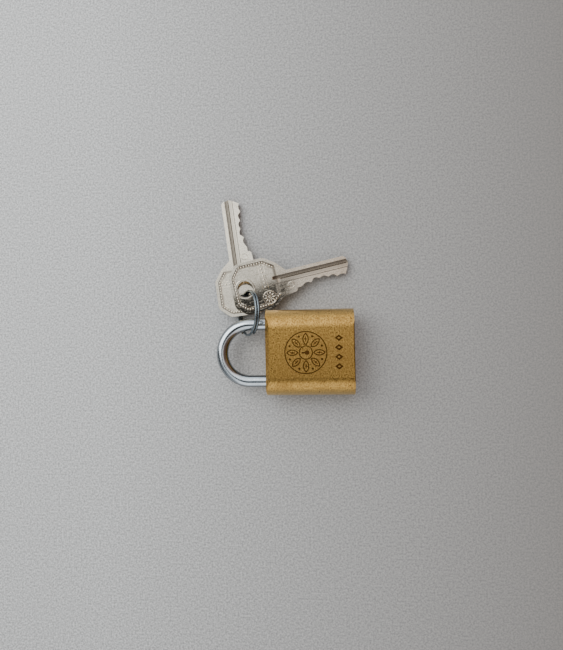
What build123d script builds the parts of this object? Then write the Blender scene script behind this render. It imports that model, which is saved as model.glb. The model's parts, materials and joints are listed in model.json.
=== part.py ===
"""Small solid-brass cylinder padlock, 30 mm wide, closed and lying on its back face,
with two keys on a split ring that hangs on the heel leg of the shackle.

Frame: the origin is the middle of the body's back face. +X runs along the shackle legs
towards the keyway, +Y across the legs towards the heel leg, +Z out of the engraved face.
All lengths are millimetres and all angles are degrees.
"""
from build123d import *
from math import cos, radians, sin
import os

# ---------------------------------------------------------------- driving dimensions
BODY_WIDTH = 30.0          # across the shackle legs, Y
BODY_THICK = 13.0          # back face to engraved face, Z
BODY_LENGTH = 30.5         # shackle end to keyway end, X
TOP_BEVEL = 1.4            # flat 45 degree bevel on the shackle end's two long edges
END_BREAK = 0.35           # broken edges of the keyway end
SHACKLE_D = 4.2
LEG_SPACING = 20.0         # centre to centre
SHACKLE_REACH = 18.1       # body to the far side of the bow
SHACKLE_LIFT = 8.0
PLUG_R = 4.5
PIN_COUNT = 5
PIN_PITCH = 3.2
KEY_THICK = 1.8
KEY_SHOULDER = 18.2        # hole centre to the shoulder that stops at the plug's face
KEY_TIP = 38.2             # hole centre to the tip
KEY_CUTS = [2.8, 1.9, 2.0, 2.3, 2.85]      # blade middle line to each cut's floor
RING_R = 7.8               # split ring, centre line of its wire
RING_WIRE = 0.88
CRANK_R = 1.9              # eccentric pin that draws the latch back
PLUG_TURN = 90.0

# ---------------------------------------------------------------- clearances
RUN = 0.05                 # radial, for parts that slide or turn
SNUG = 0.01                # radial, for parts pressed or closed in
LEG_RUN = 0.07             # radial, for the shackle's legs in their holes
CRANK_RUN = 0.12           # each side of the crank pin in the latch's slot
GAP = 0.1                  # end play
OVER = 0.1                 # how far a cutting shape overshoots a flat face

# ---------------------------------------------------------------- worked-out places
END_X = BODY_LENGTH / 2
SIDE_Y = BODY_WIDTH / 2
MID_Z = BODY_THICK / 2
LEG_R = SHACKLE_D / 2
LEG_Y = LEG_SPACING / 2
BOW_X = -END_X - SHACKLE_REACH + LEG_Y + LEG_R
HOLE_R = LEG_R + LEG_RUN
TOE_CLEAR = 0.35           # between the body and the toe leg's end when the shackle is out
TOE_END_X = -END_X + SHACKLE_LIFT - TOE_CLEAR
TOE_BORE_SPARE = 0.4       # the toe leg's hole is this much deeper than the leg
LEG_CHAMFER = 0.4

LATCH_X = -11.9
LATCH_R = 2.0
LATCH_NOSE_R = 1.5
LATCH_BITE = 0.7           # how far the latch reaches into the toe leg
LATCH_TIP_Y = -LEG_Y + LEG_R - LATCH_BITE
LATCH_SHOULDER_Y = -6.7
LATCH_TAIL_Y = 1.9
LATCH_BORE_END_Y = 6.4
LATCH_BEVEL = 1.1
LATCH_EDGE = (0.25, 0.35)  # small bevel on the nose's holding side: along X, along Y
CRANK_SLOT_RISE = 0.5      # the slot's floor above the bolt's axis
NOTCH_HOLD = 1.8           # the notch's length beyond the nose on its holding side
NOTCH_BACK = 0.2           # and behind the nose
NOTCH_LIP = (0.45, 0.25)   # bevel of the holding edge: along X, along Y
NOTCH_RAMP = 1.2           # slope at the notch's back end

NECK_R = 1.3
NECK_X = (-10.2, 0.4)
HEEL_END_X = 1.9
HEEL_BORE_X = 9.1
HEEL_PIN_R = 0.9
HEEL_PIN_X = -8.9

PLUG_FACE_X = END_X - 0.15
PLUG_TAIL_X = -6.3
SPIGOT_R = 1.5
SPIGOT_X = -8.3
CAM_X = (-9.5, -6.35)
CAM_R = 3.9
CRANK_PIN_R = 0.6
CRANK_PIN_X = -12.0
CHAMBER_X = -12.3
CRANK_OFFSET = CRANK_R * sin(radians(PLUG_TURN / 2))
GROOVE_X = (13.2, 14.6)
GROOVE_R = 4.05
PLUG_PIN_R = 0.6
WARD_HALF = 0.35
WARD_HIGH = 0.4

KEYWAY_SHIFT = 0.6         # the blade's middle line lies this far to +Y of the plug's axis
KEYWAY_CLEAR = 0.15
KEYWAY_END_X = -5.3
FIRST_CUT = 22.0           # hole centre to the first cut
PIN_R = 1.2
PIN_CONE = 0.6
PIN_POINT_R = 0.45
PIN_HOLE_TOP_Y = 0.4
SHEAR_Y = -PLUG_R + 0.17   # flat pin ends stay inside the plug's round surface
DRIVER_Y = (-7.2, -PLUG_R - 0.1)
SPRING_Y = (-13.15, -7.3)
CAP_Y = -13.3
CAP_R = 1.35

EMBLEM_X = -1.3
EMBLEM_R = 7.1
ENGRAVE_W = 0.38
ENGRAVE_DEEP = 0.16
PETALS = 8
PETAL_MIDDLE = 4.6         # emblem's centre to the middle of a petal
PETAL_ARC_R = 2.4          # each side of a petal is an arc of this radius,
PETAL_ARC_Y = 1.5          # centred this far across the petal's axis
VEIN = (1.7, 0.3)          # a petal's line along its middle: length and width
CROSS_VEIN = (0.3, 0.8)
DOT_MIDDLE = 5.9
DOT_R = 0.4
HUB_R = 2.25
KEYHOLE_R = 0.8
KEYHOLE_SLOT = (1.7, 0.6)
MARK_X = 9.9
MARK_PITCH = 3.2
MARK_SIZE = (1.45, 1.1)    # half length along X, half width along Y
MARK_HOLE = 0.34           # size of a mark's uncut middle, as a share of the mark

SHACKLE_WIRE = (1.5, 0.5, 6.5)             # spring: mean radius, wire, turns
LATCH_WIRE = (1.4, 0.36, 3.5)
PIN_WIRE = (0.85, 0.26, 6)

BLADE_BACK = 3.2
BLADE_ROOT = 3.9
KEY_HOLE_R = 2.8
BOW_CORNERS = [
    (-4.9, -5.9), (-0.9, -9.1), (8.6, -9.1), (13.2, -5.7), (16.4, -5.3), (16.4, 2.0),
    (15.6, 3.2), (12.6, 6.6), (8.6, 9.35), (-1.3, 9.35), (-4.9, 5.3)]
BOW_ROUND = 2.4
SHOULDER_CORNERS = [
    (12.0, -5.9), (KEY_SHOULDER - 0.6, -5.15), (KEY_SHOULDER, -4.7), (KEY_SHOULDER, 0), (12.0, 0)]
BLADE_START = 13.5
BLADE_ROOT_TO = KEY_SHOULDER + 1.5         # the uncut blade ends here
FIELD_CORNERS = [
    (-3.9, -5.3), (-0.5, -8.1), (8.2, -8.1), (12.4, -4.9), (15.2, -4.4), (15.2, 2.0),
    (11.9, 5.9), (8.2, 8.35), (-0.9, 8.35), (-3.9, 4.8)]
FIELD_ROUND = 1.8
ROUNDED_TO_X = 14.5        # corners beyond this, at the blade, stay sharp
RELIEF = 0.13              # how far the bow's field lies below its rim
COLLAR_R = KEY_HOLE_R + 0.9
MEDALLION = (7.9, -5.0)
MEDALLION_R = 2.7
CUT_FLAT = 0.45            # half the flat at the bottom of a cut
CUT_PEAK = 0.45            # how far a peak stands out beyond the shallower cut beside it
TIP_CORNERS = [(-1.9, -3.2), (-0.9, -1.4), (0.0, 0.7), (-0.7, 2.5), (-1.6, BLADE_BACK)]
GROOVE_FLANK = (0.8, 2.0)  # deep channel of the blade's groove
GROOVE_DEEP = 0.6
SHELF_Y = (-0.45, 0.5)     # shallow shelf beside it
SHELF_DEEP = 0.2
GROOVE_START = 13.0        # full depth from here to the tip
CUTTER_R = 8.0             # the groove runs out towards the bow on this radius
SCORE_Y = (-0.95, -0.7)    # thin line beside the shelf
SCORE_DEEP = 0.18
SCORE_START = 14.2
BACK_GROOVE_Y = (-1.8, -0.7)
BACK_GROOVE_DEEP = 0.4
BACK_GROOVE_START = 12.2
KEY_A_HOLE = (-22.85, 22.86, 5.48)         # middle of its hole
KEY_A_TURN = (13.0, 6.3, 7.2)              # heading of the blade, dip of the tip, roll
KEY_B_HOLE = (-23.82, 18.44, 2.39)
KEY_B_TURN = (97.6, 1.57, 7.86)
RING_CENTRE = (-21.45, 14.06, 7.41)
RING_LEAN = 29.5
RING_YAW = 3.0
RING_TURNS = 1.86
RING_PITCH = 0.92
RING_START = 205.0         # where the wire's first end lies round the ring


def rod_x(radius, x0, x1, y=0.0, z=MID_Z):
    """A cylinder along X."""
    return Pos((x0 + x1) / 2, y, z) * Rot(0, 90, 0) * Cylinder(radius, abs(x1 - x0))


def rod_y(radius, y0, y1, x, z=MID_Z):
    """A cylinder along Y."""
    return Pos(x, (y0 + y1) / 2, z) * Rot(90, 0, 0) * Cylinder(radius, abs(y1 - y0))


def block(x0, x1, y0, y1, z0, z1):
    """A box between two corners."""
    centre = Pos((x0 + x1) / 2, (y0 + y1) / 2, (z0 + z1) / 2)
    return centre * Box(abs(x1 - x0), abs(y1 - y0), abs(z1 - z0))


def lying(hole, turn):
    """Where a key lies: its hole's middle, then its blade's heading, dip and roll."""
    heading, dip, roll = turn
    return Location(hole) * Rotation(0, 0, heading) * Rotation(0, dip, 0) * Rotation(roll, 0, 0)


def coil(spring, length):
    """A round-wire coil about Z, standing on the origin and `length` tall over its wire."""
    radius, wire, turns = spring
    height = length - wire
    path = Helix(pitch=height / turns, height=height, radius=radius)
    section = Plane(origin=path @ 0, z_dir=path % 0) * Circle(wire / 2)
    return Pos(0, 0, wire / 2) * sweep(section, path=path, is_frenet=True)


def stadium():
    """The body's full outer shape, used to cut flush ends on the pins set into its sides."""
    profile = Plane.YZ * Pos(0, MID_Z) * SlotOverall(BODY_WIDTH, BODY_THICK)
    return extrude(profile, amount=END_X, both=True)


def pin_x(number):
    """Where pin stack `number`, from 0 at the keyway end, crosses the plug's axis."""
    return END_X + KEY_SHOULDER - FIRST_CUT - number * PIN_PITCH


# ---------------------------------------------------------------- body
def emblem():
    """Engraved lines: a circle round a rosette of veined petals with a keyhole in the middle."""
    half = ENGRAVE_W / 2

    def hoop(radius):
        return Circle(radius + half) - Circle(radius - half)

    def lens(grow):
        arcs = [Pos(0, side * PETAL_ARC_Y) * Circle(PETAL_ARC_R + grow) for side in (1, -1)]
        return arcs[0] & arcs[1]

    lines = hoop(EMBLEM_R) + hoop(HUB_R)
    for k in range(PETALS):
        turn = Rot(0, 0, 360 / PETALS * k)
        middle = turn * Pos(PETAL_MIDDLE, 0)
        lines += middle * (lens(half) - lens(-half))
        lines += middle * Rectangle(*VEIN)
        lines += middle * Rectangle(*CROSS_VEIN)
        lines += turn * Rot(0, 0, 180 / PETALS) * Pos(DOT_MIDDLE, 0) * Circle(DOT_R)
    lines += Pos(KEYHOLE_R / 2, 0) * Circle(KEYHOLE_R)
    lines += Pos(-KEYHOLE_R * 0.7, 0) * Rectangle(*KEYHOLE_SLOT)
    return lines


def marks():
    """A column of four small punched lozenges."""
    count = 4
    long, wide = MARK_SIZE
    lozenge = Polygon((-long, 0), (0, -wide), (long, 0), (0, wide))
    column = Sketch()
    for k in range(count):
        column += Pos(0, (k - (count - 1) / 2) * MARK_PITCH) * (lozenge - scale(lozenge, by=MARK_HOLE))
    return column


def body():
    top, bottom = BODY_THICK, 0.0
    bevelled = Polygon(
        (-END_X, TOP_BEVEL), (-END_X + TOP_BEVEL, bottom),
        (END_X - END_BREAK, bottom), (END_X, END_BREAK),
        (END_X, top - END_BREAK), (END_X - END_BREAK, top),
        (-END_X + TOP_BEVEL, top), (-END_X, top - TOP_BEVEL), align=None)
    side_view = Plane.XZ * bevelled
    shape = stadium() & extrude(side_view, amount=SIDE_Y, both=True)

    shape -= rod_x(HOLE_R, -END_X - 1, HEEL_BORE_X, LEG_Y)
    shape -= rod_x(HOLE_R, -END_X - 1, TOE_END_X + TOE_BORE_SPARE, -LEG_Y)
    shape -= rod_x(PLUG_R + RUN, CHAMBER_X, END_X + 1)
    shape -= rod_y(LATCH_R + RUN, -SIDE_Y - 1, LATCH_BORE_END_Y, LATCH_X)
    shape -= rod_y(HEEL_PIN_R + SNUG, LEG_Y, SIDE_Y + 1, HEEL_PIN_X)
    shape -= rod_y(PLUG_PIN_R + SNUG, 0, SIDE_Y + 1, sum(GROOVE_X) / 2)
    for k in range(PIN_COUNT):
        shape -= rod_y(PIN_R + RUN, -SIDE_Y - 1, 0, pin_x(k))
        shape -= rod_y(CAP_R + SNUG, -SIDE_Y - 1, CAP_Y, pin_x(k))

    face = Plane((0, 0, BODY_THICK - ENGRAVE_DEEP))
    shape -= extrude(face * Pos(EMBLEM_X, 0) * emblem(), amount=1)
    shape -= extrude(face * Pos(MARK_X, 0) * marks(), amount=1)
    return shape


# ---------------------------------------------------------------- shackle
def shackle():
    """The bent bar, with a captive neck on the heel leg and a latch notch in the toe leg."""
    heel = Line((HEEL_END_X, LEG_Y), (BOW_X, LEG_Y))
    bow = ThreePointArc((BOW_X, LEG_Y), (BOW_X - LEG_Y, 0), (BOW_X, -LEG_Y))
    toe = Line((BOW_X, -LEG_Y), (TOE_END_X, -LEG_Y))
    path = Wire([heel, bow, toe])
    section = Plane(origin=(HEEL_END_X, LEG_Y, 0), z_dir=(-1, 0, 0)) * Circle(LEG_R)
    bar = Pos(0, 0, MID_Z) * sweep(section, path=path)
    bar = chamfer(bar.faces().filter_by(Plane.YZ).edges(), LEG_CHAMFER)

    neck = rod_x(LEG_R + 1, NECK_X[0], NECK_X[1], LEG_Y) - rod_x(NECK_R, NECK_X[0], NECK_X[1], LEG_Y)
    floor_y = LATCH_TIP_Y - GAP
    hold_x = LATCH_X + LATCH_NOSE_R + NOTCH_HOLD
    back_x = LATCH_X - LATCH_NOSE_R - NOTCH_BACK
    rim_y = -LEG_Y + LEG_R
    top_y = rim_y + 2 * OVER
    notch = Polygon(
        (back_x, floor_y), (hold_x, floor_y), (hold_x, rim_y - NOTCH_LIP[1]),
        (hold_x + NOTCH_LIP[0], top_y), (back_x - NOTCH_RAMP, top_y), align=None)
    return bar - neck - extrude(notch, amount=BODY_THICK)


def shackle_spring():
    length = HEEL_BORE_X - HEEL_END_X - 2 * GAP
    return Pos(HEEL_END_X + GAP, LEG_Y, MID_Z) * Rot(0, 90, 0) * coil(SHACKLE_WIRE, length)


def shackle_retaining_pin():
    return rod_y(HEEL_PIN_R, LEG_Y + NECK_R + GAP, SIDE_Y + 1, HEEL_PIN_X) & stadium()


# ---------------------------------------------------------------- cylinder
def cylinder_plug():
    """The turning plug, with its keyway, five pin holes, retaining groove and tail spigot."""
    plug = rod_x(PLUG_R, PLUG_TAIL_X, PLUG_FACE_X)
    plug += rod_x(SPIGOT_R, SPIGOT_X, PLUG_TAIL_X)
    groove = rod_x(PLUG_R + 1, *GROOVE_X) - rod_x(GROOVE_R, *GROOVE_X)
    plug -= groove
    half = KEY_THICK / 2 + KEYWAY_CLEAR
    low_y = KEYWAY_SHIFT - BLADE_ROOT - KEYWAY_CLEAR
    high_y = KEYWAY_SHIFT + BLADE_BACK + KEYWAY_CLEAR
    keyway = block(KEYWAY_END_X, END_X, low_y, high_y, MID_Z - half, MID_Z + half)
    ward_y = KEYWAY_SHIFT + (GROOVE_FLANK[0] + GROOVE_FLANK[1]) / 2
    ward = block(KEYWAY_END_X, END_X, ward_y - WARD_HALF, ward_y + WARD_HALF,
                 MID_Z - half, MID_Z - half + WARD_HIGH)
    plug -= keyway - ward
    for k in range(PIN_COUNT):
        plug -= rod_y(PIN_R + RUN, -PLUG_R - 1, PIN_HOLE_TOP_Y, pin_x(k))
    return plug


def plug_cam():
    """Disc staked on the plug's tail, with the eccentric pin that works in the latch's slot."""
    cam = rod_x(CAM_R, *CAM_X) - rod_x(SPIGOT_R + SNUG, SPIGOT_X - GAP, CAM_X[1])
    return cam + rod_x(CRANK_PIN_R, CRANK_PIN_X, CAM_X[0], -CRANK_OFFSET, MID_Z + CRANK_OFFSET)


def plug_retaining_pin():
    return rod_y(PLUG_PIN_R, GROOVE_R + RUN, SIDE_Y + 1, sum(GROOVE_X) / 2) & stadium()


def key_pin(number):
    """A pin as long as its cut is deep, with a cone that rides on the key."""
    tip_y = KEYWAY_SHIFT - KEY_CUTS[number]
    pin = rod_y(PIN_R, SHEAR_Y, tip_y - PIN_CONE, pin_x(number))
    cone = Rot(-90, 0, 0) * Cone(PIN_R, PIN_POINT_R, PIN_CONE)
    return pin + Pos(pin_x(number), tip_y - PIN_CONE / 2, MID_Z) * cone


def driver_pin(number):
    return rod_y(PIN_R, *DRIVER_Y, pin_x(number))


def pin_spring(number):
    length = SPRING_Y[1] - SPRING_Y[0]
    return Pos(pin_x(number), SPRING_Y[0], MID_Z) * Rot(-90, 0, 0) * coil(PIN_WIRE, length)


def pin_chamber_plugs():
    caps = [rod_y(CAP_R, CAP_Y, -SIDE_Y - 1, pin_x(k)) & stadium() for k in range(PIN_COUNT)]
    return Compound([cap.solid() for cap in caps])


# ---------------------------------------------------------------- latch
def latch_bolt():
    """Round bolt: a bevelled nose in the toe leg's notch, and a side slot for the crank pin."""
    bolt = rod_y(LATCH_R, LATCH_SHOULDER_Y, LATCH_TAIL_Y, LATCH_X)
    bolt += rod_y(LATCH_NOSE_R, LATCH_TIP_Y, LATCH_SHOULDER_Y, LATCH_X)
    near_x = LATCH_X - LATCH_NOSE_R
    far_x = LATCH_X + LATCH_NOSE_R
    bevel = Polygon(
        (near_x - 1, LATCH_TIP_Y - 1), (near_x + LATCH_BEVEL, LATCH_TIP_Y - 1),
        (near_x + LATCH_BEVEL, LATCH_TIP_Y), (near_x, LATCH_TIP_Y + LATCH_BEVEL),
        (near_x - 1, LATCH_TIP_Y + LATCH_BEVEL), align=None)
    edge = Polygon(
        (far_x - LATCH_EDGE[0], LATCH_TIP_Y), (far_x + OVER, LATCH_TIP_Y - OVER),
        (far_x + OVER, LATCH_TIP_Y + LATCH_EDGE[1]), align=None)
    bolt -= extrude(bevel, amount=BODY_THICK)
    bolt -= extrude(edge, amount=BODY_THICK)
    half = CRANK_PIN_R + CRANK_RUN
    slot = block(CRANK_PIN_X - 2 * GAP, LATCH_X + LATCH_R, -CRANK_OFFSET - half, -CRANK_OFFSET + half,
                 MID_Z + CRANK_SLOT_RISE, MID_Z + LATCH_R)
    return bolt - slot


def latch_spring():
    length = LATCH_BORE_END_Y - LATCH_TAIL_Y - 2 * GAP
    return Pos(LATCH_X, LATCH_TAIL_Y + GAP, MID_Z) * Rot(-90, 0, 0) * coil(LATCH_WIRE, length)


def latch_bore_plug():
    return rod_y(LATCH_R + RUN - SNUG, -LEG_Y - HOLE_R - 2 * GAP, -SIDE_Y - 1, LATCH_X) & stadium()


# ---------------------------------------------------------------- keys and ring
def rounded(corners, radius):
    """A plate with these corners, rounded except at the blade."""
    plate = Polygon(*corners, align=None)
    return fillet([v for v in plate.vertices() if v.X < ROUNDED_TO_X], radius)


def key_outline():
    """The bow, shoulder and cut blade as one face: blade along +X, cuts towards -Y."""
    points = [(BLADE_START, BLADE_BACK), (BLADE_START, -BLADE_ROOT), (BLADE_ROOT_TO, -BLADE_ROOT)]
    for k, depth in enumerate(KEY_CUTS):
        middle = FIRST_CUT + k * PIN_PITCH
        points += [(middle - CUT_FLAT, -depth), (middle + CUT_FLAT, -depth)]
        if k < PIN_COUNT - 1:
            points.append((middle + PIN_PITCH / 2, -max(depth, KEY_CUTS[k + 1]) - CUT_PEAK))
    points += [(KEY_TIP + x, y) for x, y in TIP_CORNERS]
    shoulder = Polygon(*SHOULDER_CORNERS, align=None)
    return rounded(BOW_CORNERS, BOW_ROUND) + shoulder + Polygon(*points, align=None)


def key():
    """A cut key, lying flat about its own hole: rim, hole collar and medallion stand proud."""
    half = KEY_THICK / 2
    shape = extrude(key_outline(), amount=half, both=True)

    field = rounded(FIELD_CORNERS, FIELD_ROUND) - Circle(COLLAR_R)
    front = extrude(field - Pos(*MEDALLION) * Circle(MEDALLION_R), amount=RELIEF + OVER)
    back = extrude(field, amount=RELIEF + OVER)
    shape -= Pos(0, 0, half - RELIEF) * front
    shape -= Pos(0, 0, -half - OVER) * back

    low, high = GROOVE_FLANK
    end = KEY_TIP + 1
    groove = Plane.YZ * Polygon(
        (high, half + OVER), (high, half - GROOVE_DEEP), (low, half - GROOVE_DEEP),
        (SHELF_Y[1], half - SHELF_DEEP), (SHELF_Y[0], half - SHELF_DEEP), (SHELF_Y[0], half + OVER),
        align=None)
    shape -= extrude(Pos(GROOVE_START, 0, 0) * groove, amount=end - GROOVE_START, dir=(1, 0, 0))
    shape -= rod_y(CUTTER_R, low, high, GROOVE_START, half - GROOVE_DEEP + CUTTER_R)
    shape -= rod_y(CUTTER_R, SHELF_Y[0], low, GROOVE_START, half - SHELF_DEEP + CUTTER_R)
    shape -= block(SCORE_START, end, *SCORE_Y, half - SCORE_DEEP, half + OVER)
    shape -= block(BACK_GROOVE_START, end, *BACK_GROOVE_Y, -half - OVER, -half + BACK_GROOVE_DEEP)
    return shape - Cylinder(KEY_HOLE_R, KEY_THICK + 1)


def key_ring():
    """A split ring: almost two turns of round wire, leaning over with its foot on the ground."""
    rise = RING_PITCH * RING_TURNS
    path = Helix(pitch=RING_PITCH, height=rise, radius=RING_R)
    section = Plane(origin=path @ 0, z_dir=path % 0) * Circle(RING_WIRE / 2)
    wire = Pos(0, 0, -rise / 2) * sweep(section, path=path, is_frenet=True)
    across = Vector(sin(radians(RING_YAW)), cos(radians(RING_YAW)), 0)
    side = Vector(cos(radians(RING_YAW)), -sin(radians(RING_YAW)), 0)
    up = side * sin(radians(RING_LEAN)) + Vector(0, 0, 1) * cos(radians(RING_LEAN))
    lean = Plane(origin=RING_CENTRE, x_dir=across, z_dir=across.cross(up))
    return lean * Rotation(0, 0, RING_START) * wire


# ---------------------------------------------------------------- write the parts
def parts():
    """Every node's name with its solid, in place."""
    made = {
        "body": body(),
        "shackle": shackle(),
        "shackle_spring": shackle_spring(),
        "shackle_retaining_pin": shackle_retaining_pin(),
        "cylinder_plug": cylinder_plug(),
        "plug_cam": plug_cam(),
        "plug_retaining_pin": plug_retaining_pin(),
        "latch_bolt": latch_bolt(),
        "latch_spring": latch_spring(),
        "latch_bore_plug": latch_bore_plug(),
        "pin_chamber_plugs": pin_chamber_plugs(),
        "key_ring": key_ring(),
        "key_a": lying(KEY_A_HOLE, KEY_A_TURN) * key(),
        "key_b": lying(KEY_B_HOLE, KEY_B_TURN) * key(),
    }
    for k in range(PIN_COUNT):
        made[f"key_pin_{k + 1}"] = key_pin(k)
        made[f"driver_pin_{k + 1}"] = driver_pin(k)
        made[f"pin_spring_{k + 1}"] = pin_spring(k)
    return made


if __name__ == "__main__":
    os.makedirs("parts", exist_ok=True)
    for name, shape in parts().items():
        export_step(shape, f"parts/{name}.step")
        print(name, round(shape.volume, 2))
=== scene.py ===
"""Looks for a small brass padlock lying on its back, with two keys on a split ring.

Lengths are in metres in the frame's own axes: +X towards the keyway, +Y towards the heel leg
that carries the ring, +Z up out of the engraved face. MM turns millimetres into metres.
"""

import json
from math import cos, pi, radians, sin

import bmesh
import bpy
from mathutils import Euler, Matrix, Vector


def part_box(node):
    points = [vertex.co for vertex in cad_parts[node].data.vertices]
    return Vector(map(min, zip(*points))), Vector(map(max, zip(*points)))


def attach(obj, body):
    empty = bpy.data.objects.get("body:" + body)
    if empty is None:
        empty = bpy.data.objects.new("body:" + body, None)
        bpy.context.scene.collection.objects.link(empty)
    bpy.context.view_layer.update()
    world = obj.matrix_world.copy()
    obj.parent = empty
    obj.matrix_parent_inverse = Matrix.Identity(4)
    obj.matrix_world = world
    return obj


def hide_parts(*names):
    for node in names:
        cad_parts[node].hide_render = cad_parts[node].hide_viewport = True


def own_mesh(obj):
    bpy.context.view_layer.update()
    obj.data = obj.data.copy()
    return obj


MM = 0.001

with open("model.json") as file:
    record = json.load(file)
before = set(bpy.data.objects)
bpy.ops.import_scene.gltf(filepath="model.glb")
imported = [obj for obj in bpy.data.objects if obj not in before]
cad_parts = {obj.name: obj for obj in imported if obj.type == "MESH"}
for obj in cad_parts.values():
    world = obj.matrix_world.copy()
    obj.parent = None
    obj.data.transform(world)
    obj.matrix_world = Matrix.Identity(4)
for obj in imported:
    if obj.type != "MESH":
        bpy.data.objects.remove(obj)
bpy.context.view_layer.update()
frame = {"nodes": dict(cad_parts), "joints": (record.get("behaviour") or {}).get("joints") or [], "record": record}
nodes = frame["nodes"]
joints = {joint["name"]: joint for joint in frame["joints"]}

# ---------------------------------------------------------------- dimensions shared with the CAD
KEY_TURNS = {"key_a": (13.0, 6.3, 7.2), "key_b": (97.6, 1.57, 7.86)}   # heading, dip, roll
KEY_HALF = 0.9 * MM            # half the key's thickness
KEY_HOLE_R = 2.8 * MM
FIELD_TOP = 0.77 * MM          # the bow's recessed field
MEDALLION = (7.9 * MM, -5.0 * MM)
BAND_MIDDLE = 7.2 * MM         # a band of lozenges across the bow
BAND_LOW = -0.9 * MM
BAND_STEP = 1.3 * MM
BOW_MIDDLE = (4.0 * MM, 0.1 * MM)
FIELD_HALF = 7.9 * MM
SCORE_MIDDLE = -0.825 * MM     # thin line cut along the blade
BOW_CORNER_SHARE = 0.61        # makes the bow's field an octagon of half width FIELD_HALF

# Raised ornament on the keys: radius, section and rise of each piece.
BEAD_LINE = [(11.2, 5.4), (7.9, 7.75), (-0.7, 7.75), (-3.35, 4.5), (-3.35, -4.9), (-0.4, -7.5),
             (8.0, -7.5), (11.7, -4.7)]       # runs just inside the bow's rim, in millimetres
BEAD_STEP = 0.95
BEAD_R = 0.37 * MM
BEAD_RISE = 0.25 * MM
INNER_SHARE = 0.91             # size of the thin line inside the beads, about the bow's middle
INNER_LINE = (0.11 * MM, 0.09 * MM)
COLLAR = (3.35 * MM, 0.22 * MM, 0.09 * MM)
BAND_COUNT = 7
BAND_LOZENGE = (0.68 * MM, 0.46 * MM, 0.14 * MM)     # half length, half width, rise
BAND_HALF = 1.0 * MM
BAND_LINE = (0.13 * MM, 0.1 * MM)
BAND_REACH = (0.7 * MM, 6.6)   # the band's lines start this far below and run this many steps up
MEDALLION_HOOP = (2.35 * MM, 0.16 * MM, 0.1 * MM)
PETALS = 10
PETAL_MIDDLE = 1.45 * MM
PETAL = (0.6 * MM, 0.26 * MM, 0.13 * MM)
HUB_HOOP = (0.62 * MM, 0.1 * MM, 0.09 * MM)
HUB_DOT = (0.3 * MM, 0.3 * MM, 0.13 * MM)
PUNCH_PLACE = (16.4 * MM, -2.4 * MM)
PUNCH_HOOP = (1.1 * MM, 0.13 * MM, 0.06 * MM)
SUNK = 0.02 * MM               # how far a raised piece is let into the face it stands on

SPRING_WIRE = 0.36 * MM        # the latch's spring
SPRING_TURNS = 3.5
SPRING_STEPS = 24              # rings of the coil's mesh in each turn
SPRING_SIDES = 8

# ---------------------------------------------------------------- brass of the body
BRASS_LIGHT = (0.735, 0.443, 0.116)
BRASS_GRAIN_FLOOR_SHEEN = (0.34, 0.18, 0.05)       # the grain's dark side near the table, lightened as a painted reflection of the pale floor
BRASS_GRAIN_HIGH = (0.21, 0.106, 0.027)    # the grain's dark side on the engraved face
BRASS_CLOUD = (0.30, 0.165, 0.045)
# Tone of the painted highlight on the rounded sides:
BRASS_SIDE_SHEEN = (0.84, 0.64, 0.29)
BRASS_PIT = (0.07, 0.035, 0.012)
# Dirt and painted shade in the engraving:
BRASS_DIRT_AND_SHADE = (0.06, 0.022, 0.006)
# Heights between which the painted floor reflection on the grain fades out:
FLOOR_SHEEN_HEIGHTS = (4 * MM, 9 * MM)
SHEEN_SIDES = (12.4 * MM, 15.0 * MM)      # distance from the middle where the rounded sides get a painted highlight
PITTED_CORNER = ((8 * MM, 15 * MM), (5 * MM, 12 * MM))     # more pits this far along x and y
ENGRAVED_X = (12.9 * MM, 12.8 * MM)        # the engraving's dirt and painted shade end between these distances
ENGRAVED_Y = (7.9 * MM, 7.8 * MM)
ENGRAVED_START = (0.02 * MM, 0.06 * MM)    # depth below the face at which the dirt and painted shade set in
ENGRAVED_END = (0.3 * MM, 0.25 * MM)       # and at which they end

# ---------------------------------------------------------------- nickel of the keys
NICKEL_LIGHT = (0.98, 0.90, 0.745)
NICKEL_DARK = (0.66, 0.58, 0.455)
NICKEL_STAIN = (0.45, 0.40, 0.33)
# Dirt and painted shade in the keys' recesses and on the wall of the hole:
NICKEL_DIRT_AND_SHADE = (0.11, 0.09, 0.07)
FIELD_DEPTHS = (0.02 * MM, 0.09 * MM)      # depths below the key's face at which dirt and painted shade set in:
GROOVE_DEPTHS = (0.15 * MM, 0.28 * MM)     # in the bow's field, in the grooves and in the score
SCORE_DEPTHS = (0.05 * MM, 0.12 * MM)
SCORE_HALF = (0.2 * MM, 0.1 * MM)
BLADE_START = (9.2 * MM, 9.7 * MM)         # the grooves' dirt and painted shade set in between these lengths
RIM_WIDTH = (1.1 * MM, 0.1 * MM)           # dirt and painted shade inside the bow's rim
RIM_END = (12.2 * MM, 11.6 * MM)           # it fades out between these lengths
SCRATCH_SCALE = (0.12, 1.6, 1.0)
SCRATCH_ANGLE = 11                         # degrees from the blade's length

# ---------------------------------------------------------------- floor
FLOOR_HALF = 1.5
FLOOR_DROP = 0.0001            # just below the body's back face
FLOOR_SPAN = (-0.08, 0.09)     # along x, the painted light falloff runs from its lit end to its dim end
# Ends of the painted light falloff on the floor:
FLOOR_PAINTED_LIT = (0.795, 0.805, 0.80)
FLOOR_PAINTED_DIM = (0.35, 0.328, 0.304)
FLOOR_WEAVE = (0.22, 0.22, 0.22)

# ---------------------------------------------------------------- camera
CAMERA_PLACE = (5.86 * MM, 5.03 * MM, 182.4 * MM)
CAMERA_TURN = (1.41, 5.17, -1.08)      # degrees about X, Y, Z
LENS = 31.97
SENSOR = 36.0
CLIP_START = 0.005

# ---------------------------------------------------------------- light
SKY_STRENGTH = 1.72
# Brightness stops. Up the walls at the body's ends and at its sides, by height 0 to 1:
SKY_LONG_WAY = [(0.0, 0.10), (0.16, 0.15), (0.36, 0.8), (0.6, 1.0)]
SKY_SHORT_WAY = [(0.0, 0.62), (0.16, 0.8), (0.36, 0.95), (0.6, 1.0)]
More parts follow.
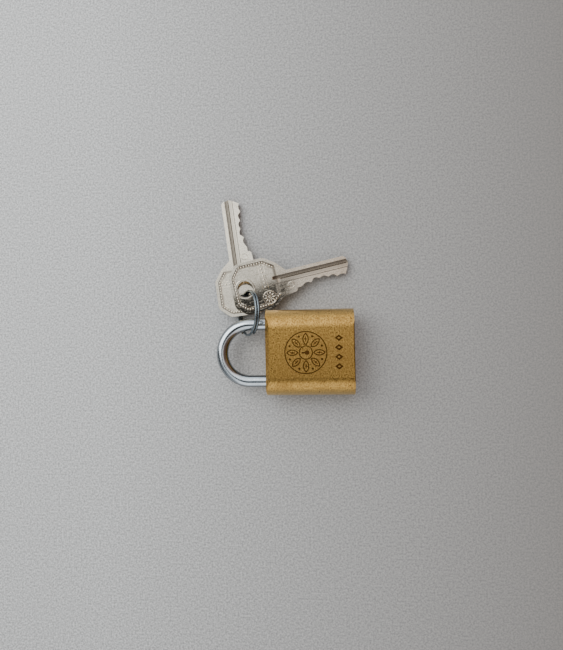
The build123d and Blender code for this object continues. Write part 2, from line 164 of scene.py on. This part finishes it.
# From -X (0) to +X (1), and from -Y (0) to +Y (1):
SKY_ACROSS = [(0.0, 0.12), (0.2, 0.28), (0.33, 1.0), (0.66, 0.86), (0.73, 0.22), (0.9, 0.25)]
SKY_UPWARD = [(0.1, 0.95), (0.35, 0.64), (0.585, 0.67), (0.65, 1.12), (0.8, 1.0)]
SKY_COOL = (0.93, 0.97, 1.0)
SKY_WARM = (0.62, 0.38, 0.27)  # towards +X
# The dark patch overhead: two sloping edges that meet near x = 0.03 to 0.06, and its other limits.
PATCH_NEAR_SLOPE = 0.62
PATCH_NEAR_EDGE = (0.0, -0.03)
PATCH_FAR_SLOPE = 0.385
PATCH_FAR_EDGE = (-0.136, -0.15)
PATCH_JOIN = (0.03, 0.06)
PATCH_FAR_END = (0.215, 0.185)
PATCH_LOW_Y = (-0.52, -0.42)
PATCH_HALF_X = (0.30, 0.24)
PATCH_LOW_Z = (0.5, 0.6)
PATCH_FACTOR = 0.04            # share of the sky's light that is left inside it
WINDOW_POWER = 1.2
WINDOW_PLACE = (-0.27, 0.15, 0.26)
WINDOW_SIZE = (0.34, 0.36)
WINDOW_COLOR = (0.97, 0.99, 1.0)


# ---------------------------------------------------------------- node helpers
class Graph:
    """A node tree, with short calls for the few nodes that the finishes and the sky need."""

    def __init__(self, owner, coords="Object"):
        owner.use_nodes = True
        self.owner = owner
        self.tree = owner.node_tree
        self.coords = self.tree.nodes.new("ShaderNodeTexCoord").outputs[coords]

    def add(self, kind, **settings):
        node = self.tree.nodes.new(kind)
        for key, value in settings.items():
            setattr(node, key, value)
        return node

    def feed(self, socket, value):
        """Links an output to the socket, or sets its plain value."""
        if isinstance(value, bpy.types.NodeSocket):
            self.tree.links.new(value, socket)
        else:
            socket.default_value = value

    def mapped(self, scale=(1, 1, 1), place=None, turn=None):
        node = self.add("ShaderNodeMapping")
        node.vector_type = "POINT" if place is None else "TEXTURE"
        self.feed(node.inputs["Vector"], self.coords)
        node.inputs["Scale"].default_value = scale
        if place is not None:
            node.inputs["Location"].default_value = place
            node.inputs["Rotation"].default_value = turn
        return node.outputs["Vector"]

    def noise(self, vector, scale, detail=2.0, rough=0.5):
        node = self.add("ShaderNodeTexNoise")
        self.feed(node.inputs["Vector"], vector)
        node.inputs["Scale"].default_value = scale
        node.inputs["Detail"].default_value = detail
        node.inputs["Roughness"].default_value = rough
        return node.outputs["Fac"]

    def span(self, value, low, high, to_low=0.0, to_high=1.0):
        """Remaps low..high to to_low..to_high, clamped."""
        node = self.add("ShaderNodeMapRange")
        self.feed(node.inputs["Value"], value)
        limits = {"From Min": low, "From Max": high, "To Min": to_low, "To Max": to_high}
        for socket, number in limits.items():
            node.inputs[socket].default_value = number
        return node.outputs["Result"]

    def math(self, operation, a, b=0.0):
        node = self.add("ShaderNodeMath", operation=operation)
        self.feed(node.inputs[0], a)
        self.feed(node.inputs[1], b)
        return node.outputs[0]

    def mix(self, factor, a, b):
        """Colour a where factor is 0, b where it is 1."""
        node = self.add("ShaderNodeMix", data_type="RGBA")
        self.feed(node.inputs["Factor"], factor)
        for socket, value in ((node.inputs[6], a), (node.inputs[7], b)):
            self.feed(socket, value if isinstance(value, bpy.types.NodeSocket) else (*value, 1.0))
        return node.outputs[2]

    def axes(self, vector):
        node = self.add("ShaderNodeSeparateXYZ")
        self.feed(node.inputs[0], vector)
        return node.outputs

    def bump(self, height, distance, strength=1.0, under=None):
        node = self.add("ShaderNodeBump")
        self.feed(node.inputs["Height"], height)
        node.inputs["Distance"].default_value = distance
        node.inputs["Strength"].default_value = strength
        if under is not None:
            self.feed(node.inputs["Normal"], under)
        return node.outputs["Normal"]

    def ramp(self, value, stops):
        """A grey value that runs smoothly through (position, value) stops."""
        node = self.add("ShaderNodeValToRGB")
        self.feed(node.inputs["Fac"], value)
        band = node.color_ramp
        band.interpolation = "EASE"
        while len(band.elements) < len(stops):
            band.elements.new(0.5)
        for element, (place, grey) in zip(band.elements, stops):
            element.position = place
            element.color = (grey, grey, grey, 1.0)
        return node.outputs["Color"]

    def finish(self, color, rough, normal, metallic=1.0):
        shader = self.tree.nodes["Principled BSDF"]
        self.feed(shader.inputs["Base Color"], color)
        self.feed(shader.inputs["Roughness"], rough)
        self.feed(shader.inputs["Normal"], normal)
        shader.inputs["Metallic"].default_value = metallic
        return self.owner


def material_graph(name):
    return Graph(bpy.data.materials.new(name))


# ---------------------------------------------------------------- materials
def brass_body():
    """Satin extruded brass: grain across the bar, tarnish clouds, pits, dirt and painted shade in the engraving, a
    painted highlight on the rounded sides and a painted floor reflection low on them.
    """
    g = material_graph("brass_body")
    grain = g.noise(g.mapped((1.2, 0.8, 1.0)), 2000, 3.0, 0.65)
    clouds = g.noise(g.mapped((1.0, 0.5, 1.0)), 210, 3.0, 0.6)
    specks = g.noise(g.mapped((1.0, 0.8, 1.0)), 1150, 1.0, 0.4)
    x, y, z = g.axes(g.coords)
    # Painted floor reflection: the grain's dark side is lighter low on the rounded sides than on the engraved
    # face.
    grain_dark_with_floor_sheen = g.mix(g.span(z, *FLOOR_SHEEN_HEIGHTS), BRASS_GRAIN_FLOOR_SHEEN, BRASS_GRAIN_HIGH)
    tone = g.mix(g.span(grain, 0.32, 0.68), grain_dark_with_floor_sheen, BRASS_LIGHT)
    tone = g.mix(g.span(clouds, 0.42, 0.72, 0.0, 0.45), tone, BRASS_CLOUD)
    # Painted highlight on the outer parts of the rounded sides.
    side_sheen = g.span(g.math("ABSOLUTE", y), *SHEEN_SIDES, 0.0, 0.55)
    tone = g.mix(side_sheen, tone, BRASS_SIDE_SHEEN)
    corner_x, corner_y = PITTED_CORNER
    corner = g.math("MULTIPLY", g.span(x, *corner_x), g.span(y, *corner_y))
    limit = g.math("ADD", g.math("MULTIPLY", corner, 0.085), 0.25)
    pits = g.span(g.math("SUBTRACT", specks, limit), 0.0, -0.03)
    tone = g.mix(g.math("MULTIPLY", pits, 0.8), tone, BRASS_PIT)

    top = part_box("body")[1].z
    wobble = g.math("MULTIPLY", g.math("SUBTRACT", grain, 0.5), 0.05 * MM)
    start_high, start_low = (top - below for below in ENGRAVED_START)
    end_low, end_high = (top - below for below in ENGRAVED_END)
    depth = g.span(g.math("ADD", z, wobble), start_high, start_low)
    depth = g.math("MULTIPLY", depth, g.span(z, end_low, end_high))
    in_x = g.span(g.math("ABSOLUTE", x), *ENGRAVED_X)
    in_y = g.span(g.math("ABSOLUTE", y), *ENGRAVED_Y)
    cut = g.math("MULTIPLY", depth, g.math("MULTIPLY", in_y, in_x))
    # Dirt and painted shade in the engraved recesses.
    tone = g.mix(g.math("MULTIPLY", cut, 0.9), tone, BRASS_DIRT_AND_SHADE)

    rough = g.span(g.math("ADD", grain, g.math("MULTIPLY", clouds, 0.6)), 0.5, 1.15, 0.24, 0.42)
    rough = g.math("ADD", rough, g.math("MULTIPLY", cut, 0.25))
    normal = g.bump(grain, 0.05 * MM, 0.6)
    normal = g.bump(pits, -0.05 * MM, 0.8, normal)
    return g.finish(tone, rough, normal)


def plated(name, light, dark, rough=(0.12, 0.26), grain=(1.0, 1.0, 1.0), bump=0.012, stain=0.35,
           shaded_below=None):
    """Bright or satin plating: faint mottling, hairline grain and a few dull stains. Below a given height it is
    darkened with painted shade and a painted reflection of the dark horizon along the bar's underside."""
    g = material_graph(name)
    fine = g.noise(g.mapped(grain), 3400, 3.0, 0.6)
    cloud = g.noise(g.mapped(), 260, 3.0, 0.6)
    tone = g.mix(g.span(fine, 0.3, 0.7), dark, light)
    tone = g.mix(g.span(cloud, 0.5, 0.78, 0.0, stain), tone, tuple(0.45 * c for c in dark))
    if shaded_below is not None:
        height = g.axes(g.coords)[2]
        # Painted shade and dark reflection along the underside.
        dull = g.span(height, shaded_below, shaded_below - 0.6 * MM, 0.0, 0.75)
        tone = g.mix(dull, tone, tuple(0.3 * c for c in dark))
    roughness = g.span(g.math("ADD", fine, cloud), 0.75, 1.25, *rough)
    return g.finish(tone, roughness, g.bump(fine, bump * MM, 0.6))


def key_nickel(node):
    """Worn nickel on a key, with grime and painted shade in its recessed field, its grooves and round its beads,
    and painted shade on the wall of its hole.
    """
    g = material_graph(f"nickel_{node}")
    heading, dip, roll = (radians(a) for a in KEY_TURNS[node])
    place = joints[f"{node}_swing"]["pos_m"]
    local = g.mapped(place=place, turn=(roll, dip, heading))
    u, v, w = g.axes(local)
    fine = g.noise(local, 2900, 3.0, 0.62)
    cloud = g.noise(local, 240, 3.0, 0.6)
    scratch_map = g.add("ShaderNodeMapping")
    g.feed(scratch_map.inputs["Vector"], local)
    scratch_map.inputs["Scale"].default_value = SCRATCH_SCALE
    scratch_map.inputs["Rotation"].default_value = (0, 0, radians(SCRATCH_ANGLE))
    scratch = g.span(g.noise(scratch_map.outputs["Vector"], 2600, 2.0, 0.6), 0.62, 0.70)
    tone = g.mix(g.span(fine, 0.3, 0.7), NICKEL_DARK, NICKEL_LIGHT)
    tone = g.mix(g.span(cloud, 0.5, 0.75, 0.0, 0.25), tone, NICKEL_STAIN)
    height = g.math("ABSOLUTE", w)
    low = g.span(height, *(KEY_HALF - depth for depth in FIELD_DEPTHS))
    deep = g.span(height, *(KEY_HALF - depth for depth in GROOVE_DEPTHS))
    deep = g.math("MULTIPLY", deep, g.span(v, 0.7 * MM, 1.6 * MM, 0.72, 1.0))
    from_score = g.math("ABSOLUTE", g.math("SUBTRACT", v, SCORE_MIDDLE))
    score = g.span(height, *(KEY_HALF - depth for depth in SCORE_DEPTHS))
    score = g.math("MULTIPLY", g.span(from_score, *SCORE_HALF), score)
    deep = g.math("MULTIPLY", g.math("MAXIMUM", deep, score), g.span(u, *BLADE_START))
    from_u = g.math("ABSOLUTE", g.math("SUBTRACT", u, BOW_MIDDLE[0]))
    from_v = g.math("ABSOLUTE", g.math("SUBTRACT", v, BOW_MIDDLE[1]))
    flats = g.math("MAXIMUM", from_u, from_v)
    corners = g.math("MULTIPLY", g.math("ADD", from_u, from_v), BOW_CORNER_SHARE)
    rim_limits = (FIELD_HALF - width for width in RIM_WIDTH)
    rim = g.span(g.math("MAXIMUM", flats, corners), *rim_limits)
    rim = g.math("MULTIPLY", rim, g.span(u, *RIM_END))
    flat = g.add("ShaderNodeCombineXYZ")
    g.feed(flat.inputs[0], u)
    g.feed(flat.inputs[1], v)
    from_hole = g.add("ShaderNodeVectorMath", operation="LENGTH")
    g.feed(from_hole.inputs[0], flat.outputs[0])
    # Painted shade on the wall of the key's hole.
    bore_shade = g.span(from_hole.outputs["Value"], KEY_HOLE_R + 0.03 * MM, KEY_HOLE_R - 0.01 * MM)
    # Dirt and painted shade in the recesses, with painted shade in the hole.
    dirt_and_shade = g.math("MAXIMUM", bore_shade, g.math("MULTIPLY", low, g.math("MAXIMUM", rim, deep)))
    dirt_and_shade = g.math("MULTIPLY", dirt_and_shade, g.span(fine, 0.3, 0.6, 0.62, 0.97))
    tone = g.mix(dirt_and_shade, tone, NICKEL_DIRT_AND_SHADE)
    rough = g.span(g.math("ADD", fine, cloud), 0.75, 1.3, 0.03, 0.09)
    rough = g.math("ADD", rough, g.math("MULTIPLY", dirt_and_shade, 0.3))
    normal = g.bump(fine, 0.004 * MM, 0.5)
    normal = g.bump(scratch, -0.01 * MM, 0.5, normal)
    return g.finish(tone, rough, normal)


def paper(name):
    """The pale grey floor, with painted light that falls off from -X to +X."""
    g = material_graph(name)
    weave = g.noise(g.mapped(), 1500, 2.0, 0.7)
    across = g.axes(g.coords)[0]
    # Painted light: lighter towards -X, darker towards +X.
    tone = g.mix(g.span(across, *FLOOR_SPAN), FLOOR_PAINTED_LIT, FLOOR_PAINTED_DIM)
    tone = g.mix(g.span(weave, 0.35, 0.65, 0.0, 0.75), tone, FLOOR_WEAVE)
    return g.finish(tone, 0.85, g.bump(weave, 0.05 * MM, 0.3), metallic=0.0)


def turned(name, light, dark):
    """A machined or drawn surface: duller, with its grain drawn out along x."""
    return plated(name, light, dark, rough=(0.25, 0.45), grain=(0.4, 1.0, 1.0), bump=0.02)


# ---------------------------------------------------------------- mesh helpers
def to_object(name, mesh, material):
    """Makes an object of a finished bmesh."""
    bmesh.ops.recalc_face_normals(mesh, faces=mesh.faces)
    for face in mesh.faces:
        face.smooth = True
    data = bpy.data.meshes.new(name)
    mesh.to_mesh(data)
    mesh.free()
    data.materials.append(material)
    made = bpy.data.objects.new(name, data)
    bpy.context.scene.collection.objects.link(made)
    return made


def dome(mesh, x, y, base, radius_x, radius_y, height, turn=0.0, segments=12):
    """A closed flattened ball whose middle is on `base`, so that its upper half stands proud."""
    place = Matrix.Translation((x, y, base)) @ Matrix.Rotation(turn, 4, "Z")
    matrix = place @ Matrix.Diagonal((radius_x, radius_y, height, 1.0))
    bmesh.ops.create_uvsphere(mesh, u_segments=segments, v_segments=8, radius=1.0, matrix=matrix)


def hoop(mesh, x, y, base, radius, thick, height, segments=48, sides=10):
    """A closed low torus."""
    rows = []
    for k in range(segments):
        a = 2 * pi * k / segments
        row = []
        for j in range(sides):
            b = 2 * pi * j / sides
            r = radius + thick * cos(b)
            row.append(mesh.verts.new((x + r * cos(a), y + r * sin(a), base + height * sin(b))))
        rows.append(row)
    for k in range(segments):
        here, there = rows[k], rows[(k + 1) % segments]
        for j in range(sides):
            n = (j + 1) % sides
            mesh.faces.new((here[j], there[j], there[n], here[n]))


def ridge(mesh, start, end, base, half, height):
    """A closed low bar of three-sided section between two points."""
    run = (end - start).normalized()
    side = Vector((-run.y, run.x)) * half
    ends = []
    for point in (start, end):
        feet = [point + side, point - side]
        ends.append([mesh.verts.new((*foot, base - height)) for foot in feet])
        ends[-1].append(mesh.verts.new((*point, base + height)))
    near, far = ends
    mesh.faces.new(near)
    mesh.faces.new(far[::-1])
    for k in range(3):
        n = (k + 1) % 3
        mesh.faces.new((near[k], far[k], far[n], near[n]))


def lozenge(mesh, x, y, base, long, wide, height):
    """A closed raised diamond with sloping sides."""
    place = Matrix.Translation((x, y, base))
    corners = [(long, 0), (0, wide), (-long, 0), (0, -wide)]
    low = [mesh.verts.new(place @ Vector((a, b, -height))) for a, b in corners]
    high = [mesh.verts.new(place @ Vector((0.55 * a, 0.55 * b, height))) for a, b in corners]
    mesh.faces.new(low[::-1])
    mesh.faces.new(high)
    for k in range(4):
        n = (k + 1) % 4
        mesh.faces.new((low[k], low[n], high[n], high[k]))


def along(points, step):
    """Evenly spaced places along a run of straight stretches."""
    lengths = [(Vector(b) - Vector(a)).length for a, b in zip(points, points[1:])]
    count = int(sum(lengths) / step)
    places = []
    for k in range(count + 1):
        rest = sum(lengths) * k / count
        for (a, b), length in zip(zip(points, points[1:]), lengths):
            if rest <= length + 1e-9:
                places.append(Vector(a).lerp(Vector(b), rest / length))
                break
            rest -= length
    return places


def key_embossing(node):
    """The bow's raised ornament: beads inside the rim, a hole collar, lozenges and a medallion."""
    mesh = bmesh.new()
    for place in along(BEAD_LINE, BEAD_STEP):
        dome(mesh, place.x * MM, place.y * MM, FIELD_TOP, BEAD_R, BEAD_R, BEAD_RISE, segments=10)
    middle = Vector(BOW_MIDDLE)
    inner = [middle + INNER_SHARE * (Vector(corner) * MM - middle) for corner in BEAD_LINE]
    for start, end in zip(inner, inner[1:]):
        ridge(mesh, start, end, FIELD_TOP, *INNER_LINE)
    for side in (1, -1):
        hoop(mesh, 0, 0, side * (KEY_HALF - SUNK), *COLLAR)
    for k in range(BAND_COUNT):
        lozenge(mesh, BAND_MIDDLE, BAND_LOW + k * BAND_STEP, FIELD_TOP, *BAND_LOZENGE)
    below, steps = BAND_REACH
    for side in (1, -1):
        edge = BAND_MIDDLE + side * BAND_HALF
        low, high = Vector((edge, BAND_LOW - below)), Vector((edge, BAND_LOW + steps * BAND_STEP))
        ridge(mesh, low, high, FIELD_TOP, *BAND_LINE)
    x, y = MEDALLION
    hoop(mesh, x, y, KEY_HALF, *MEDALLION_HOOP)
    for k in range(PETALS):
        angle = 2 * pi * k / PETALS
        petal_x, petal_y = x + PETAL_MIDDLE * cos(angle), y + PETAL_MIDDLE * sin(angle)
        dome(mesh, petal_x, petal_y, KEY_HALF - SUNK, *PETAL, angle)
    hoop(mesh, x, y, KEY_HALF, *HUB_HOOP, segments=24)
    dome(mesh, x, y, KEY_HALF - SUNK, *HUB_DOT)
    hoop(mesh, *PUNCH_PLACE, KEY_HALF, *PUNCH_HOOP, segments=32)
    heading, dip, roll = (radians(a) for a in KEY_TURNS[node])
    turn = Euler((roll, dip, heading)).to_matrix().to_4x4()
    mesh.transform(Matrix.Translation(joints[f"{node}_swing"]["pos_m"]) @ turn)
    made = to_object(f"{node}_embossing", mesh, nodes[node].data.materials[0])
    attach(made, node)


# ---------------------------------------------------------------- the latch's spring
def latch_coil():
    """A coil in the CAD spring's place."""
    low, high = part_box("latch_spring")
    middle_x, middle_z = (low.x + high.x) / 2, (low.z + high.z) / 2
    radius = (high.x - low.x - SPRING_WIRE) / 2
    start, end = low.y + SPRING_WIRE / 2, high.y - SPRING_WIRE / 2
    mesh = bmesh.new()
    rows = []
    count = int(SPRING_TURNS * SPRING_STEPS)
    for k in range(count + 1):
        share = k / count
        angle = 2 * pi * SPRING_TURNS * share
        outward = Vector((cos(angle), 0, sin(angle)))
        centre = Vector((middle_x, start + share * (end - start), middle_z)) + radius * outward
        row = []
        for j in range(SPRING_SIDES):
            turn = 2 * pi * j / SPRING_SIDES
            offset = outward * cos(turn) + Vector((0, 1, 0)) * sin(turn)
            row.append(mesh.verts.new(centre + SPRING_WIRE / 2 * offset))
        rows.append(row)
    for here, there in zip(rows, rows[1:]):
        for j in range(SPRING_SIDES):
            n = (j + 1) % SPRING_SIDES
            mesh.faces.new((here[j], there[j], there[n], here[n]))
    mesh.faces.new(rows[0])
    mesh.faces.new(rows[-1][::-1])
    made = to_object("latch_coil", mesh, nodes["latch_spring"].data.materials[0])
    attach(made, "lock_body")
    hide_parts("latch_spring")
    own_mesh(made)


# ---------------------------------------------------------------- dressing the CAD nodes
def dress():
    """Gives every CAD node its material."""
    finishes = {
        "brass_body": brass_body(),
        "shackle_plating": plated("shackle_plating", (0.70, 0.745, 0.78), (0.50, 0.545, 0.58),
                                  rough=(0.09, 0.2), shaded_below=8.35 * MM),
        "ring_steel": plated("ring_steel", (0.25, 0.29, 0.31), (0.14, 0.17, 0.19), rough=(0.16, 0.3)),
        "plug_brass": turned("plug_brass", (0.66, 0.47, 0.20), (0.46, 0.30, 0.11)),
        "tumbler_brass": turned("tumbler_brass", (0.72, 0.54, 0.25), (0.52, 0.36, 0.15)),
        "cap_brass": turned("cap_brass", (0.60, 0.40, 0.16), (0.42, 0.26, 0.09)),
        "cam_steel": turned("cam_steel", (0.50, 0.50, 0.51), (0.36, 0.36, 0.37)),
        "latch_steel": turned("latch_steel", (0.56, 0.56, 0.58), (0.40, 0.40, 0.42)),
        "pin_steel": turned("pin_steel", (0.46, 0.43, 0.39), (0.30, 0.28, 0.25)),
        "spring_steel": turned("spring_steel", (0.60, 0.61, 0.63), (0.42, 0.43, 0.45)),
    }
    for row in frame["record"]["subparts"]:
        node, slot = row["node"], row["material_slot"]
        material = key_nickel(node) if slot == "key_nickel" else finishes[slot]
        data = nodes[node].data
        data.materials.clear()
        data.materials.append(material)


# ---------------------------------------------------------------- stage, light and camera
def stage():
    """A wide plain floor, just clear of the body's back face."""
    mesh = bmesh.new()
    bmesh.ops.create_grid(mesh, x_segments=1, y_segments=1, size=FLOOR_HALF)
    floor = to_object("floor", mesh, paper("floor_paper"))
    floor.location.z = -FLOOR_DROP


def lamp(name, place, aim, size, power, color):
    data = bpy.data.lights.new(name, "AREA")
    data.shape = "RECTANGLE"
    data.size, data.size_y = size
    data.energy = power
    data.color = color
    made = bpy.data.objects.new(name, data)
    made.location = place
    made.rotation_euler = (Vector(aim) - Vector(place)).to_track_quat("-Z", "Y").to_euler()
    bpy.context.scene.collection.objects.link(made)


def sky():
    """The room round the table: bright walls, a dim horizon, a warm dark side towards +X and a
    dark patch above, which the keys mirror."""
    g = Graph(bpy.data.worlds.new("room"), "Generated")
    bpy.context.scene.world = g.owner
    x, y, z = g.axes(g.coords)
    long_way = g.ramp(z, SKY_LONG_WAY)
    short_way = g.ramp(z, SKY_SHORT_WAY)
    by_height = g.mix(g.span(g.math("ABSOLUTE", y), 0.25, 0.6), long_way, short_way)
    across = g.ramp(g.span(x, -1.0, 1.0), SKY_ACROSS)
    upward = g.ramp(g.span(y, -1.0, 1.0), SKY_UPWARD)
    by_side = g.math("MULTIPLY", across, upward)
    near_rise = g.math("ADD", y, g.math("MULTIPLY", x, PATCH_NEAR_SLOPE))
    near_edge = g.span(near_rise, *PATCH_NEAR_EDGE)
    near_edge = g.math("MULTIPLY", near_edge, g.span(x, *reversed(PATCH_JOIN)))
    far_rise = g.math("SUBTRACT", y, g.math("MULTIPLY", x, PATCH_FAR_SLOPE))
    far_edge = g.span(far_rise, *PATCH_FAR_EDGE)
    far_edge = g.math("MULTIPLY", far_edge, g.span(x, *PATCH_JOIN))
    far_edge = g.math("MULTIPLY", far_edge, g.span(x, *PATCH_FAR_END))
    below_edge = g.math("ADD", near_edge, far_edge)
    near_side = g.span(y, *PATCH_LOW_Y)
    middle = g.span(g.math("ABSOLUTE", x), *PATCH_HALF_X)
    patch = g.math("MULTIPLY", below_edge, g.math("MULTIPLY", near_side, middle))
    patch = g.math("MULTIPLY", patch, g.span(z, *PATCH_LOW_Z))
    dimmed = g.math("MULTIPLY", by_side, g.span(patch, 0.0, 1.0, 1.0, PATCH_FACTOR))
    light = g.math("MULTIPLY", by_height, dimmed)
    tone = g.mix(g.span(x, 0.1, 0.6), SKY_COOL, SKY_WARM)
    background = g.tree.nodes["Background"]
    g.feed(background.inputs["Color"], tone)
    g.feed(background.inputs["Strength"], g.math("MULTIPLY", light, SKY_STRENGTH))


def lights():
    lamp("window", WINDOW_PLACE, (0, 0, 0), WINDOW_SIZE, WINDOW_POWER, WINDOW_COLOR)
    sky()


def camera():
    data = bpy.data.cameras.new("camera")
    data.sensor_fit = "HORIZONTAL"
    data.sensor_width = SENSOR
    data.lens = LENS
    data.clip_start = CLIP_START
    made = bpy.data.objects.new("camera", data)
    made.location = CAMERA_PLACE
    made.rotation_euler = Euler([radians(a) for a in CAMERA_TURN])
    bpy.context.scene.collection.objects.link(made)
    bpy.context.scene.camera = made


dress()
latch_coil()
for key_node in KEY_TURNS:
    key_embossing(key_node)
stage()
lights()
camera()
